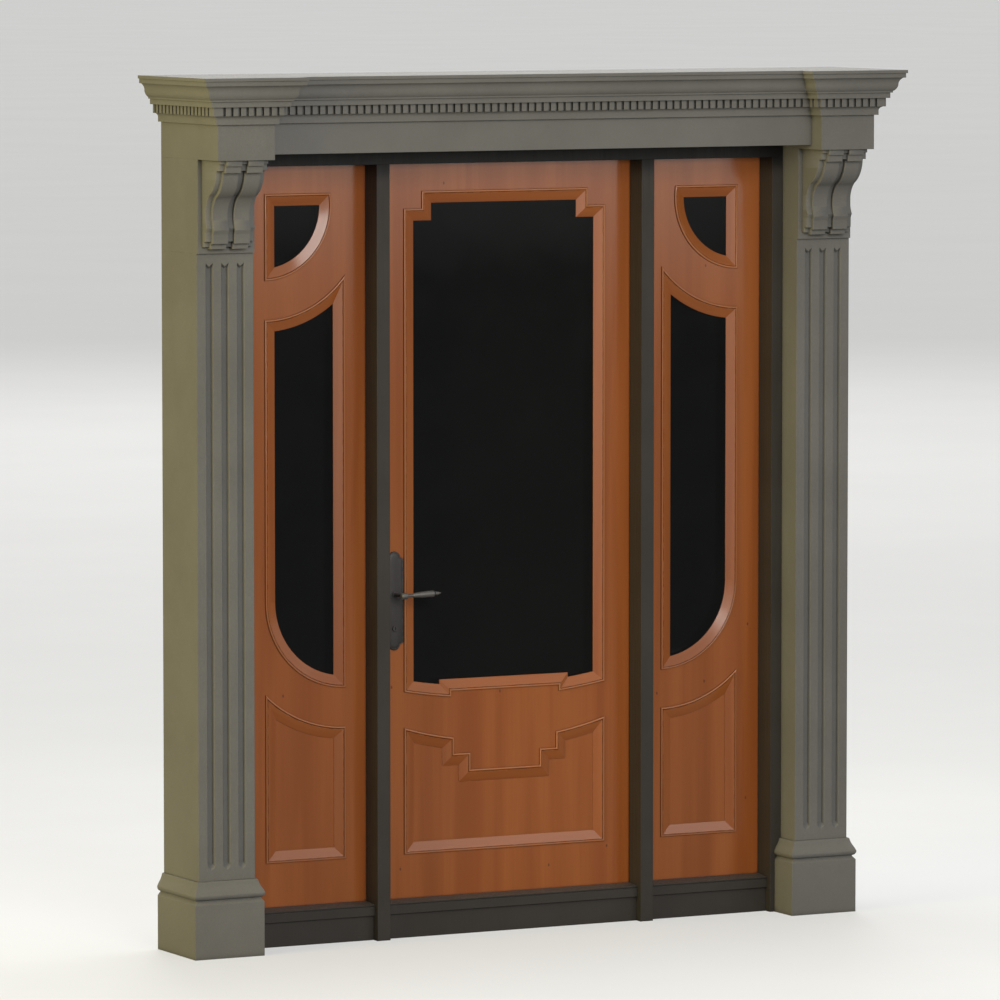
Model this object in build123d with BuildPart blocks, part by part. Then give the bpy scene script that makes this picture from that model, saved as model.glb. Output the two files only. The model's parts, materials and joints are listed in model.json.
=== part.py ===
from build123d import *
import os
from math import cos, radians, sin, sqrt

# A classical stone door surround with a glazed entrance door between two fixed sidelights.
# Millimetres. X runs across the front, Y into the wall, Z up from the ground.
# Depths are measured forward from the back of the frame, so a depth d lies at Y = -d.

# Stone surround
pier_outer = 1046
pier_inner = 872
pier_depth = 232
base_top = 217
head_bottom = 1975
head_depth = 240
frieze_bottom = 2237
frieze_depth = 374
lintel_bottom = 2250
lintel_depth = 315

# Plinth and base mouldings: reach beyond the pier face, and heights
plinth_reach = 20
plinth_height = 154
groove_reach = 12
groove_bottom = 163.5
groove_top = 165.5
bell_under_reach = 19.7
bell_under_height = 171.5
bell_reach = 21.5
bell_height = 179
bell_side_reach = 19.2
bell_side_height = 185
bell_turn_reach = 15.2
bell_turn_height = 192.7
bell_hollow_reach = 10.5
bell_hollow_height = 201.5
bell_lip_reach = 6.5
bell_lip_height = 214
base_top_reach = 4

# Flutes
flute_count = 3
flute_pitch = 48
flute_width = 22.5
flute_floor = 13.5
flute_depth = 8.5
flute_point = 9
flute_margin_bottom = 30
flute_margin_top = 26.5
flute_top_slope = 7
flute_foot_slope = 16

# Consoles: reach beyond the face of the pier head, and drop below the frieze
console_margin = 13
console_cap_reach = 119
console_cap_drop = 10
console_neck_reach = 111
console_throat_drop = 29
console_shoulder_reach = 94
console_bend_reach = 47
console_bend_drop = 100
console_waist_reach = 23
console_waist_drop = 144
console_ridge_reach = 32
console_ridge_drop = 190
console_foot_reach = 26
console_foot_drop = 201
console_shaft_drop = 228
console_lip_reach = 13
console_lip_drop = 243
console_rib_rise = 9
console_rib_fall = 6
console_swell_out = 0.25
console_swell_down = 0.55
console_side_border = 16
console_centre_groove = 17

# Cornice: reach beyond the frieze face, and heights above the frieze
cornice_bottom = 2336
fascia_reach = 9.5
fascia_top = 13
cove_reach = 21
cove_top = 24.5
cove_bow = (0.3, 0.7)
dentil_band_reach = 16.5
dentil_reach = 25
dentil_slot = 8
dentil_pitch = 23.4
dentil_corner = 33.5
dentil_top = 49
corona_reach = 34
corona_top = 64.5
bead_reach = 39.5
bead_top = 69
cyma_waist_reach = 51
cyma_waist_height = 89
swell_bow = (0.7, 0.4)
flare_bow = (0.3, 0.6)
cyma_reach = 62
cyma_top = 108
fillet_reach = 67
fillet_top = 121
crown_reach = 71
crown_top = 130

# Timber frame
frame_depth = 149
jamb_face = 836.7
mullion_inner = 405.5
mullion_outer = 446
head_rail_bottom = 2210
door_rebate = 15
head_rebate = 13
stop_gap = 5

# Sills
sill_board_depth = 122
sill_board_height = 71
sill_strip_depth = 130
sill_strip_front = 102
sill_strip_back = 107
sill_groove_depth = 3
sill_groove_bottom = 95
sill_groove_top = 98.5
door_sill_height = 92

# Leaves
leaf_front = 74
leaf_thickness = 68
hinge_gap = 5
lock_gap = 10
bottom_gap = 5
top_gap = 5

# Planted mouldings round the lights and panels
moulding_width = 34.5
moulding_proud = 4.5
moulding_chamfer = 1.5
moulding_bead = 8
moulding_lip = 10
fit_gap = 0.3
glass_set_back = 8
glass_thickness = 28
bevel_sink = 6
panel_sink = 6
panel_edge = 1
inner_panel_sink = 6

# Door light, upper outline of the moulding
door_light_half = 325
light_top = 2130
notch_half = 268
notch_level = 2080
light_strip_half = 174
light_strip_level = 695
light_arc_bottom = 669.5
light_arc_radius = 1790

# Door panel, outline of the moulding
panel_bottom = 232
panel_arc_bottom = 549
panel_arc_radius = 1120
panel_step_half = 165.4
panel_step_level = 514.5
panel_drop_half = 112
panel_drop_level = 466

# Sidelights, outline of the mouldings
side_light_outer = 763
side_light_inner = 511
quarter_centre_level = 2095
quarter_radius = 210
tall_top_radius = 320
foot_centre_level = 975
side_panel_radius = 363

# Lever set
lever_x = -356.5
lever_level = 982
lever_rise = 2
plate_bottom = 822
plate_top = 1104
plate_half = 28.5
plate_shoulder = 21
plate_end_half = 17
plate_thickness = 8
neck_radius = 5.5
neck_length = 58
spindle_radius = 5
hub_radius = 9.5
hub_half = 10
hub_edge = 2
waist_radius = 4.5
waist_reach = 29
grip_start_radius = 6.2
grip_radius = 9.5
grip_reach = 92
grip_swell = 0.8
grip_end_reach = 97
finial_neck_radius = 4
finial_ring_radius = 6
finial_ring_start = 99
finial_ring_end = 103
finial_tip_radius = 1
finial_reach = 118
cylinder_level = 884
cylinder_radius = 8.5
cylinder_proud = 3

# Hinges
hinge_count = 3
hinge_lowest = 350
hinge_spacing = 810
hinge_back = 12
knuckle_radius = 7
knuckle_length = 60
pin_radius = 4
pin_clearance = 0.08
knuckle_gap = 0.5
hinge_plate_thickness = 3
hinge_plate_width = 34

# Worked-out places
leaf_back = leaf_front - leaf_thickness
stop_depth = leaf_front + stop_gap
rebate_face = mullion_inner + door_rebate
door_right = rebate_face - hinge_gap
door_left = -(rebate_face - lock_gap)
door_bottom = door_sill_height + bottom_gap
door_top = head_rail_bottom + head_rebate - top_gap
pier_centre = -(pier_outer + pier_inner) / 2
pier_width = pier_outer - pier_inner
hinge_x = rebate_face - hinge_gap / 2
side_light_width = side_light_outer - side_light_inner
hinge_levels = [hinge_lowest + hinge_spacing * step for step in range(hinge_count)]

os.makedirs("parts", exist_ok=True)


def keep(piece, name):
    """Label a finished piece and write it to its own file."""
    piece.part.label = name
    export_step(piece.part, f"parts/{name}.step")


def keep_pair(left, name):
    """Write a piece of the left half and its mirror image on the right."""
    with BuildPart() as right:
        mirror(left.part, about=Plane.YZ)
    keep(left, f"left_{name}")
    keep(right, f"right_{name}")


def block(left, right, back, front, bottom, top):
    """An upright block between two X values, two depths and two heights."""
    with BuildPart() as body:
        with BuildSketch(Plane.XY.offset(bottom)):
            with Locations(((left + right) / 2, -(back + front) / 2)):
                Rectangle(right - left, front - back)
        extrude(amount=top - bottom)
    return body


def arc_about(centre, start, end):
    """The arc from start to end round a centre, the short way."""
    middle = Vector(*start) + Vector(*end) - Vector(*centre) * 2
    radius = (Vector(*start) - Vector(*centre)).length
    ThreePointArc(start, Vector(*centre) + middle.normalized() * radius, end)


# Plinths with their base mouldings

def base_edges(face, side):
    """Moulded edge of a plinth, standing out from a pier face to one side."""
    def at(reach, height):
        return (face + side * reach, height)

    groove = at(groove_reach, groove_top)
    widest = at(bell_reach, bell_height)
    turn = at(bell_turn_reach, bell_turn_height)
    lip = at(bell_lip_reach, bell_lip_height)
    Polyline(
        at(plinth_reach, 0),
        at(plinth_reach, plinth_height),
        at(groove_reach, groove_bottom),
        groove,
    )
    ThreePointArc(groove, at(bell_under_reach, bell_under_height), widest)
    ThreePointArc(widest, at(bell_side_reach, bell_side_height), turn)
    ThreePointArc(turn, at(bell_hollow_reach, bell_hollow_height), lip)
    Line(lip, at(base_top_reach, base_top))


with BuildPart() as plinth:
    with BuildSketch(Plane.XZ):
        with BuildLine():
            base_edges(-pier_outer, -1)
            base_edges(-pier_inner, 1)
            Line((-pier_outer - plinth_reach, 0), (-pier_inner + plinth_reach, 0))
            Line((-pier_outer - base_top_reach, base_top), (-pier_inner + base_top_reach, base_top))
        make_face()
    extrude(amount=pier_depth + bell_reach)
    with BuildSketch(Plane.YZ.offset(-pier_outer - bell_reach)):
        with BuildLine():
            base_edges(-pier_depth, -1)
            Line((-pier_depth - plinth_reach, 0), (0, 0))
            Line((0, 0), (0, base_top))
            Line((0, base_top), (-pier_depth - base_top_reach, base_top))
        make_face()
    extrude(amount=pier_width + 2 * bell_reach, mode=Mode.INTERSECT)
    # The inner back corner is cut away so that the jamb runs down to the ground.
    with BuildSketch(Plane.XY):
        with Locations((-pier_inner, -frame_depth)):
            Rectangle(bell_reach, frame_depth, align=(Align.MIN, Align.MIN))
    extrude(amount=base_top, mode=Mode.SUBTRACT)
keep_pair(plinth, "plinth")

# Fluted piers

flute_bottom = base_top + flute_margin_bottom
flute_top = head_bottom - flute_margin_top


def flute_outline(x, width, top_drop, foot_rise, depth):
    """A flute's outline at a depth: a strip whose head is notched and whose foot is pointed."""
    half = width / 2
    point = flute_point * width / flute_width
    shoulder = flute_top - top_drop - flute_point + point
    foot = flute_bottom + foot_rise
    with BuildSketch(Plane.XZ.offset(depth)) as face:
        with Locations((x, 0)):
            Polygon(
                (0, foot),
                (half, foot + point),
                (half, shoulder),
                (0, shoulder - point),
                (-half, shoulder),
                (-half, foot + point),
                align=None,
            )
    return face.sketch.face()


with BuildPart() as pier:
    with BuildSketch(Plane.XY.offset(base_top)):
        with Locations((pier_centre, -pier_depth / 2)):
            Rectangle(pier_width, pier_depth)
    extrude(amount=head_bottom - base_top)
    # Each flute is a flat-bottomed trough with sloping sides and ends.
    for step in range(flute_count):
        flute_x = pier_centre + flute_pitch * (step - (flute_count - 1) / 2)
        mouth = flute_outline(flute_x, flute_width, 0, 0, pier_depth)
        floor_depth = pier_depth - flute_depth
        floor = flute_outline(flute_x, flute_floor, flute_top_slope, flute_foot_slope, floor_depth)
        loft([mouth, floor], ruled=True, mode=Mode.SUBTRACT)
keep_pair(pier, "pier")

# Pier heads, frieze blocks and lintel

pier_head = block(-pier_outer, -pier_inner, 0, head_depth, head_bottom, frieze_bottom)
keep_pair(pier_head, "pier_head")

frieze_block = block(-pier_outer, -pier_inner, 0, frieze_depth, frieze_bottom, cornice_bottom)
keep_pair(frieze_block, "frieze_block")

lintel = block(-pier_inner, pier_inner, 0, lintel_depth, lintel_bottom, cornice_bottom)
keep(lintel, "lintel")

# Consoles: an S-curved bracket with a cap and a lipped foot, and two ribs that run over all of them


def console_side(x, rise, fall):
    """Side outline of the console on the plane at X, its front moved out by a rise and down by a fall."""
    def at(reach, drop):
        return (-head_depth - reach - rise, frieze_bottom - drop - fall)

    shoulder = at(console_shoulder_reach, console_throat_drop)
    bend = at(console_bend_reach, console_bend_drop)
    ridge = at(console_ridge_reach, console_ridge_drop)
    upper_middle = at(
        console_shoulder_reach - (console_shoulder_reach - console_bend_reach) * console_swell_out,
        console_throat_drop + (console_bend_drop - console_throat_drop) * console_swell_down,
    )
    with BuildSketch(Plane.YZ.offset(x)) as face:
        with BuildLine():
            Polyline(
                (-head_depth, frieze_bottom),
                (-head_depth - console_cap_reach - rise, frieze_bottom),
                at(console_cap_reach, console_cap_drop),
                at(console_neck_reach, console_cap_drop),
                at(console_neck_reach, console_throat_drop),
                shoulder,
            )
            ThreePointArc(shoulder, upper_middle, bend)
            ThreePointArc(bend, at(console_waist_reach, console_waist_drop), ridge)
            Polyline(
                ridge,
                at(console_foot_reach, console_foot_drop),
                at(console_foot_reach, console_shaft_drop),
                at(console_lip_reach, console_shaft_drop),
                at(console_lip_reach, console_lip_drop),
                (-head_depth, frieze_bottom - console_lip_drop - fall),
                (-head_depth, frieze_bottom),
            )
        make_face()
    return face.sketch


console_left = -pier_outer + console_margin
console_width = pier_width - 2 * console_margin
rib_width = (console_width - 2 * console_side_border - console_centre_groove) / 2

with BuildPart() as console:
    extrude(console_side(console_left, 0, 0), amount=console_width)
    for rib_left in (
        console_left + console_side_border,
        console_left + console_side_border + rib_width + console_centre_groove,
    ):
        extrude(console_side(rib_left, console_rib_rise, console_rib_fall), amount=rib_width)
keep_pair(console, "console")

# Cornice in three lengths, mitred round the frieze blocks, with dentils


def cornice_edges(face, side):
    """Moulded edge of the cornice, standing out from a frieze face to one side."""
    def at(reach, height):
        return (face + side * reach, cornice_bottom + height)

    def partway(start, end, bow):
        """Point of a curve between two corners, a share of the way out and a share of the way up."""
        return at(start[0] + (end[0] - start[0]) * bow[0], start[1] + (end[1] - start[1]) * bow[1])

    waist = (cyma_waist_reach, cyma_waist_height)
    cove_middle = partway((fascia_reach, fascia_top), (cove_reach, cove_top), cove_bow)
    swell_middle = partway((bead_reach, bead_top), waist, swell_bow)
    flare_middle = partway(waist, (cyma_reach, cyma_top), flare_bow)
    Polyline(at(0, 0), at(fascia_reach, 0), at(fascia_reach, fascia_top))
    ThreePointArc(at(fascia_reach, fascia_top), cove_middle, at(cove_reach, cove_top))
    Polyline(
        at(cove_reach, cove_top),
        at(dentil_reach, cove_top),
        at(dentil_reach, dentil_top),
        at(corona_reach, dentil_top),
        at(corona_reach, corona_top),
        at(bead_reach, corona_top),
        at(bead_reach, bead_top),
    )
    ThreePointArc(at(bead_reach, bead_top), swell_middle, at(*waist))
    ThreePointArc(at(*waist), flare_middle, at(cyma_reach, cyma_top))
    Polyline(
        at(cyma_reach, cyma_top),
        at(fillet_reach, cyma_top),
        at(fillet_reach, fillet_top),
        at(crown_reach, fillet_top),
        at(crown_reach, crown_top),
    )


def cornice_front(depth, left, right, mode=Mode.ADD):
    """Cornice profile carried along X in front of a frieze of the given depth."""
    top = cornice_bottom + crown_top
    with BuildSketch(Plane.YZ.offset(left)) as profile:
        with BuildLine():
            cornice_edges(-depth, -1)
            Polyline((-depth, cornice_bottom), (0, cornice_bottom), (0, top), (-depth - crown_reach, top))
        make_face()
    extrude(profile.sketch, amount=right - left, mode=mode)


def cornice_ends(left, left_side, right, right_side, depth):
    """Cut both ends of the cornice to the moulded outline, so that its corners are mitred."""
    top = cornice_bottom + crown_top
    with BuildSketch(Plane.XZ) as outline:
        with BuildLine():
            cornice_edges(left, left_side)
            cornice_edges(right, right_side)
            Line((left, cornice_bottom), (right, cornice_bottom))
            Line((left + left_side * crown_reach, top), (right + right_side * crown_reach, top))
        make_face()
    extrude(outline.sketch, amount=depth + crown_reach, mode=Mode.INTERSECT)


def slot_row(start, end):
    """Centres of the slots between dentils: the first stands off its corner, the rest follow at the pitch."""
    count = int((end - start - dentil_corner) / dentil_pitch) + 1
    return [start + dentil_corner + dentil_pitch * step for step in range(count)]


slot_height = dentil_top - cove_top
slot_middle = cornice_bottom + (cove_top + dentil_top) / 2
slot_depth = dentil_reach - dentil_band_reach
slot_centre = (dentil_reach + dentil_band_reach) / 2

with BuildPart() as end_cornice:
    cornice_front(frieze_depth, -pier_outer - crown_reach, -pier_inner + crown_reach)
    cornice_ends(-pier_outer, -1, -pier_inner, 1, frieze_depth)
    front_row = slot_row(-pier_outer - dentil_reach, -pier_inner + dentil_reach)
    with Locations(*[(x, -frieze_depth - slot_centre, slot_middle) for x in front_row]):
        Box(dentil_slot, slot_depth, slot_height, mode=Mode.SUBTRACT)
    outer_row = slot_row(-frieze_depth - dentil_reach, 0)
    with Locations(*[(-pier_outer - slot_centre, y, slot_middle) for y in outer_row]):
        Box(slot_depth, dentil_slot, slot_height, mode=Mode.SUBTRACT)
    inner_row = slot_row(-frieze_depth - dentil_reach, -lintel_depth - dentil_reach)
    with Locations(*[(-pier_inner + slot_centre, y, slot_middle) for y in inner_row]):
        Box(slot_depth, dentil_slot, slot_height, mode=Mode.SUBTRACT)
    # The inner return is scribed to the centre length, which runs through to the end block.
    cornice_front(lintel_depth, -pier_inner, -pier_inner + crown_reach, mode=Mode.SUBTRACT)
keep_pair(end_cornice, "cornice")

with BuildPart() as centre_cornice:
    cornice_front(lintel_depth, -pier_inner, pier_inner)
    centre_row = slot_row(-pier_inner + dentil_reach, pier_inner - dentil_reach)
    with Locations(*[(x, -lintel_depth - slot_centre, slot_middle) for x in centre_row]):
        Box(dentil_slot, slot_depth, slot_height, mode=Mode.SUBTRACT)
keep(centre_cornice, "centre_cornice")

# Timber frame

jamb = block(-pier_inner, -jamb_face, 0, frame_depth, 0, head_rail_bottom)
keep_pair(jamb, "jamb")

with BuildPart() as mullion:
    with BuildSketch(Plane.XY):
        with Locations((-mullion_outer, -frame_depth)):
            Rectangle(mullion_outer - mullion_inner, frame_depth, align=(Align.MIN, Align.MIN))
    extrude(amount=head_rail_bottom)
    # The door closes into a rebate behind the stop.
    with BuildSketch(Plane.XY.offset(door_sill_height)):
        with Locations((-mullion_inner, 0)):
            Rectangle(door_rebate, stop_depth, align=(Align.MAX, Align.MAX))
    extrude(amount=head_rail_bottom - door_sill_height, mode=Mode.SUBTRACT)
keep_pair(mullion, "mullion")

with BuildPart() as head_rail:
    with BuildSketch(Plane.XY.offset(head_rail_bottom)):
        with Locations((0, -frame_depth / 2)):
            Rectangle(2 * pier_inner, frame_depth)
    extrude(amount=lintel_bottom - head_rail_bottom)
    with BuildSketch(Plane.XY.offset(head_rail_bottom)):
        Rectangle(2 * rebate_face, stop_depth, align=(Align.CENTER, Align.MAX))
    extrude(amount=head_rebate, mode=Mode.SUBTRACT)
keep(head_rail, "head_rail")

# Sills: a board on the ground and an overhanging weathered strip in each bay

side_sill_board = block(-jamb_face, -mullion_outer, 0, sill_board_depth, 0, sill_board_height)
keep_pair(side_sill_board, "sill_board")
door_sill_board = block(-mullion_inner, mullion_inner, 0, sill_board_depth, 0, sill_board_height)
keep(door_sill_board, "door_sill_board")

# A groove along the front of each strip parts its nose from its face.
sill_groove = (
    (-sill_strip_depth, sill_groove_bottom),
    (-sill_strip_depth + sill_groove_depth, sill_groove_bottom),
    (-sill_strip_depth + sill_groove_depth, sill_groove_top),
    (-sill_strip_depth, sill_groove_top),
)

with BuildPart() as side_sill_strip:
    with BuildSketch(Plane.YZ.offset(-jamb_face)):
        with BuildLine():
            Polyline(
                (-sill_strip_depth, sill_board_height),
                *sill_groove,
                (-sill_strip_depth, sill_strip_front),
                (-leaf_front, sill_strip_back),
                (0, sill_strip_back),
                (0, sill_board_height),
                close=True,
            )
        make_face()
    extrude(amount=jamb_face - mullion_outer)
keep_pair(side_sill_strip, "sill_strip")

with BuildPart() as door_sill_strip:
    with BuildSketch(Plane.YZ.offset(-mullion_inner)):
        with BuildLine():
            Polyline(
                (-sill_strip_depth, sill_board_height),
                *sill_groove,
                (-sill_strip_depth, sill_strip_front),
                (-stop_depth, sill_strip_back),
                (-stop_depth, door_sill_height),
                (0, door_sill_height),
                (0, sill_board_height),
                close=True,
            )
        make_face()
    extrude(amount=2 * mullion_inner)
keep(door_sill_strip, "door_sill_strip")

# Outlines of the lights and panels, each moved in by an inset and drawn at a depth


def door_light(inset, depth):
    """Door light: notched upper corners, and a bottom of two arcs with a raised strip between."""
    side = door_light_half - inset
    top = light_top - inset
    notch_x = notch_half - inset
    notch_z = notch_level - inset
    strip_x = light_strip_half + inset
    strip_z = light_strip_level + inset
    centre = light_arc_bottom + light_arc_radius
    radius = light_arc_radius - inset
    side_z = centre - sqrt(radius**2 - side**2)
    step_z = centre - sqrt(radius**2 - strip_x**2)
    with BuildSketch(Plane.XZ.offset(depth)) as face:
        with BuildLine():
            Polyline(
                (side, side_z),
                (side, notch_z),
                (notch_x, notch_z),
                (notch_x, top),
                (-notch_x, top),
                (-notch_x, notch_z),
                (-side, notch_z),
                (-side, side_z),
            )
            arc_about((0, centre), (-side, side_z), (-strip_x, step_z))
            Polyline((-strip_x, step_z), (-strip_x, strip_z), (strip_x, strip_z), (strip_x, step_z))
            arc_about((0, centre), (strip_x, step_z), (side, side_z))
        make_face()
    return face.sketch


def door_panel(inset, depth):
    """Door panel: a square foot, and a top that dips in two arcs and two steps to the middle."""
    side = door_light_half - inset
    bottom = panel_bottom + inset
    step_x = panel_step_half + inset
    step_z = panel_step_level - inset
    drop_x = panel_drop_half + inset
    drop_z = panel_drop_level - inset
    centre = panel_arc_bottom + panel_arc_radius
    radius = panel_arc_radius + inset
    side_z = centre - sqrt(radius**2 - side**2)
    arc_z = centre - sqrt(radius**2 - step_x**2)
    with BuildSketch(Plane.XZ.offset(depth)) as face:
        with BuildLine():
            Polyline((-side, side_z), (-side, bottom), (side, bottom), (side, side_z))
            arc_about((0, centre), (side, side_z), (step_x, arc_z))
            Polyline(
                (step_x, arc_z),
                (step_x, step_z),
                (drop_x, step_z),
                (drop_x, drop_z),
                (-drop_x, drop_z),
                (-drop_x, step_z),
                (-step_x, step_z),
                (-step_x, arc_z),
            )
            arc_about((0, centre), (-step_x, arc_z), (-side, side_z))
        make_face()
    return face.sketch


def quarter_light(inset, depth):
    """Quarter-round top light of the left sidelight, its square corner at the upper left."""
    left = -side_light_outer + inset
    top = light_top - inset
    radius = quarter_radius - inset
    centre = (-side_light_outer, quarter_centre_level)
    right = centre[0] + sqrt(radius**2 - (top - centre[1]) ** 2)
    bottom = centre[1] - sqrt(radius**2 - inset**2)
    with BuildSketch(Plane.XZ.offset(depth)) as face:
        with BuildLine():
            Polyline((left, bottom), (left, top), (right, top))
            arc_about(centre, (right, top), (left, bottom))
        make_face()
    return face.sketch


def tall_light(inset, depth):
    """Tall light of the left sidelight, hollow at the top and rounded at the foot."""
    left = -side_light_outer + inset
    right = -side_light_inner - inset
    top_centre = (-side_light_outer, quarter_centre_level)
    top_radius = tall_top_radius + inset
    left_top = top_centre[1] - sqrt(top_radius**2 - inset**2)
    right_top = top_centre[1] - sqrt(top_radius**2 - (right - top_centre[0]) ** 2)
    foot_centre = (-side_light_inner, foot_centre_level)
    foot_radius = side_light_width - inset
    right_foot = foot_centre[1] - sqrt(foot_radius**2 - inset**2)
    with BuildSketch(Plane.XZ.offset(depth)) as face:
        with BuildLine():
            Line((left, foot_centre_level), (left, left_top))
            arc_about(top_centre, (left, left_top), (right, right_top))
            Line((right, right_top), (right, right_foot))
            arc_about(foot_centre, (right, right_foot), (left, foot_centre_level))
        make_face()
    return face.sketch


def side_panel(inset, depth):
    """Lower panel of the left sidelight, its top an arc round the same centre as the light's foot."""
    left = -side_light_outer + inset
    right = -side_light_inner - inset
    bottom = panel_bottom + inset
    centre = (-side_light_inner, foot_centre_level)
    radius = side_panel_radius + inset
    left_top = centre[1] - sqrt(radius**2 - (left - centre[0]) ** 2)
    right_top = centre[1] - sqrt(radius**2 - inset**2)
    with BuildSketch(Plane.XZ.offset(depth)) as face:
        with BuildLine():
            Polyline((left, left_top), (left, bottom), (right, bottom), (right, right_top))
            arc_about(centre, (right, right_top), (left, left_top))
        make_face()
    return face.sketch


def cut_light(outline):
    """Cut a glazed light: a pocket for moulding and glass, and an opening behind."""
    pocket = glass_set_back + glass_thickness
    extrude(outline(moulding_lip, leaf_front), amount=-pocket, mode=Mode.SUBTRACT)
    extrude(outline(moulding_width, leaf_front), amount=-leaf_thickness, mode=Mode.SUBTRACT)


def cut_panel(outline):
    """Cut a sunk panel on the outer face, and a plain one on the inner face."""
    extrude(outline(moulding_lip, leaf_front), amount=-panel_sink, mode=Mode.SUBTRACT)
    extrude(outline(moulding_width, leaf_back), amount=inner_panel_sink, mode=Mode.SUBTRACT)


def planted_moulding(outline, seat, sink):
    """A moulding planted round an outline: a lip on the leaf, then a bevel falling to a seat."""
    edge = moulding_proud - moulding_chamfer
    front = leaf_front + moulding_proud
    extrude(outline(0, leaf_front), amount=edge)
    loft([outline(0, leaf_front + edge).face(), outline(moulding_chamfer, front).face()], ruled=True)
    extrude(outline(moulding_lip + fit_gap, leaf_front), amount=-seat)
    bevel = [outline(moulding_bead, front).face(), outline(moulding_width, leaf_front - sink).face()]
    loft(bevel, ruled=True, mode=Mode.SUBTRACT)
    extrude(outline(moulding_width, leaf_front - sink), amount=sink - seat, mode=Mode.SUBTRACT)


def pane(outline):
    """The sealed glazing unit of a light, bedded behind its moulding."""
    extrude(outline(moulding_lip + fit_gap, leaf_front - glass_set_back), amount=-glass_thickness)


# Door leaf

with BuildPart() as door_slab:
    with BuildSketch(Plane.XZ.offset(leaf_front)):
        with Locations(((door_left + door_right) / 2, (door_bottom + door_top) / 2)):
            Rectangle(door_right - door_left, door_top - door_bottom)
    extrude(amount=-leaf_thickness)
    cut_light(door_light)
    cut_panel(door_panel)
    for level, radius in ((lever_level, spindle_radius), (cylinder_level, cylinder_radius)):
        with BuildSketch(Plane.XZ.offset(leaf_front)):
            with Locations((lever_x, level)):
                Circle(radius + fit_gap)
        extrude(amount=-leaf_thickness, mode=Mode.SUBTRACT)
keep(door_slab, "door_slab")

with BuildPart() as door_glass:
    pane(door_light)
keep(door_glass, "door_glass")

with BuildPart() as door_light_moulding:
    planted_moulding(door_light, glass_set_back, bevel_sink)
keep(door_light_moulding, "door_light_moulding")

with BuildPart() as door_panel_moulding:
    planted_moulding(door_panel, panel_sink, panel_sink - panel_edge)
keep(door_panel_moulding, "door_panel_moulding")

# Sidelights

with BuildPart() as side_slab:
    with BuildSketch(Plane.XZ.offset(leaf_front)):
        with Locations((-(jamb_face + mullion_outer) / 2, (sill_strip_back + head_rail_bottom) / 2)):
            Rectangle(jamb_face - mullion_outer, head_rail_bottom - sill_strip_back)
    extrude(amount=-leaf_thickness)
    cut_light(quarter_light)
    cut_light(tall_light)
    cut_panel(side_panel)
keep_pair(side_slab, "sidelight_slab")

with BuildPart() as side_glass:
    pane(quarter_light)
    pane(tall_light)
keep_pair(side_glass, "sidelight_glass")

with BuildPart() as side_light_mouldings:
    planted_moulding(quarter_light, glass_set_back, bevel_sink)
    planted_moulding(tall_light, glass_set_back, bevel_sink)
keep_pair(side_light_mouldings, "light_mouldings")

with BuildPart() as side_panel_moulding:
    planted_moulding(side_panel, panel_sink, panel_sink - panel_edge)
keep_pair(side_panel_moulding, "panel_moulding")

# Lever set: backplates, lock cylinder and two levers on one spindle

plate_holes = ((lever_level, spindle_radius), (cylinder_level, cylinder_radius))


def backplate(depth, direction):
    """A backplate standing out from a leaf face, with rounded ends between hollow shoulders."""
    low = plate_bottom + plate_shoulder
    high = plate_top - plate_shoulder
    hollow = plate_half - plate_end_half
    top_end = high + hollow / 2
    low_end = low - hollow / 2

    def at(x, z):
        return (lever_x + x, z)

    with BuildPart() as plate:
        with BuildSketch(Plane.XZ.offset(depth)):
            with BuildLine():
                ThreePointArc(at(-plate_end_half, top_end), at(0, plate_top), at(plate_end_half, top_end))
                RadiusArc(at(plate_end_half, top_end), at(plate_half, high), -hollow)
                Line(at(plate_half, high), at(plate_half, low))
                RadiusArc(at(plate_half, low), at(plate_end_half, low_end), -hollow)
                ThreePointArc(at(plate_end_half, low_end), at(0, plate_bottom), at(-plate_end_half, low_end))
                RadiusArc(at(-plate_end_half, low_end), at(-plate_half, low), -hollow)
                Line(at(-plate_half, low), at(-plate_half, high))
                RadiusArc(at(-plate_half, high), at(-plate_end_half, top_end), -hollow)
            make_face()
        extrude(amount=direction * plate_thickness)
        for level, radius in plate_holes:
            with BuildSketch(Plane.XZ.offset(depth)):
                with Locations((lever_x, level)):
                    Circle(radius + fit_gap)
            extrude(amount=direction * plate_thickness, mode=Mode.SUBTRACT)
    return plate


keep(backplate(leaf_front, 1), "outer_backplate")
keep(backplate(leaf_back, -1), "inner_backplate")

with BuildPart() as lock_cylinder:
    with BuildSketch(Plane.XZ.offset(leaf_front + plate_thickness + cylinder_proud)):
        with Locations((lever_x, cylinder_level)):
            Circle(cylinder_radius)
    extrude(amount=-(leaf_thickness + 2 * plate_thickness + 2 * cylinder_proud))
keep(lock_cylinder, "lock_cylinder")


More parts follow.
